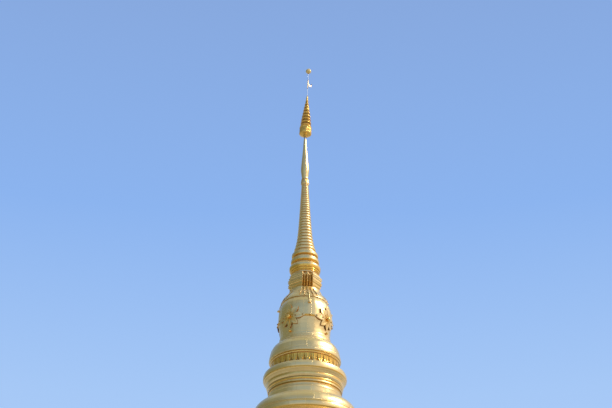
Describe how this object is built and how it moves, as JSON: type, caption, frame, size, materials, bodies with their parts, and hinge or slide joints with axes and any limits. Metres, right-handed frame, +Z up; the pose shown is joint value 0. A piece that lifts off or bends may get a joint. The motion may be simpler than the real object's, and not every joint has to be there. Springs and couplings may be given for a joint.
{
  "type": "gilded stupa",
  "caption": "Gilded bell stupa on a redented square base, with round mouldings, a flowered bell, a ringed spire and an umbrella finial with a turning vane.",
  "frame": {"origin": "centre of the square foot, on the ground", "axes": "+Z up along the stupa's axis, +X and +Y square to the faces of its base"},
  "size_m": [12, 12, 35.9487],
  "materials": {
    "gilt_sheet": "satin gilded copper sheet over masonry",
    "polished_gilt": "polished gilding",
    "mast_steel": "bare steel rod"
  },
  "bodies": {
    "stupa": {"plinth_lower": "gilt_sheet", "plinth_middle": "gilt_sheet", "plinth_upper": "gilt_sheet", "base_lower_foot": "gilt_sheet", "base_lower_waist": "gilt_sheet", "base_lower_cornice": "gilt_sheet", "base_body_foot": "gilt_sheet", "base_body_waist": "gilt_sheet", "base_body_cornice": "gilt_sheet", "base_upper_foot": "gilt_sheet", "base_upper_waist": "gilt_sheet", "base_upper_cornice": "gilt_sheet", "moulding_lower": "gilt_sheet", "moulding_middle": "gilt_sheet", "moulding_upper": "gilt_sheet", "lotus_moulding": "gilt_sheet", "bell": "gilt_sheet", "bell_belt": "polished_gilt", "flower_front": "polished_gilt", "flower_right": "polished_gilt", "flower_back": "polished_gilt", "flower_left": "polished_gilt", "bell_crown": "gilt_sheet", "crown_ornament_front_right": "polished_gilt", "crown_ornament_back_right": "polished_gilt", "crown_ornament_back_left": "polished_gilt", "crown_ornament_front_left": "polished_gilt", "harmika": "gilt_sheet", "spire_neck": "gilt_sheet", "gold_ring_lower": "polished_gilt", "gold_ring_middle": "polished_gilt", "gold_ring_upper": "polished_gilt", "ringed_spire_lower": "gilt_sheet", "ringed_spire_upper": "gilt_sheet", "lotus_cup": "gilt_sheet", "spindle": "gilt_sheet", "mast": "mast_steel", "umbrella_drum": "polished_gilt", "umbrella_tiers": "polished_gilt", "umbrella_spike": "polished_gilt", "bud": "polished_gilt"},
    "vane": {"vane": "gilt_sheet"}
  },
  "joints": [
    {"name": "vane_turn", "type": "hinge", "parent": "stupa", "child": "vane", "pos_m": [0.09972, 0.06982, 35.10445], "axis": [0.0343, 0.024, 0.9991], "continuous": true}
  ]
}
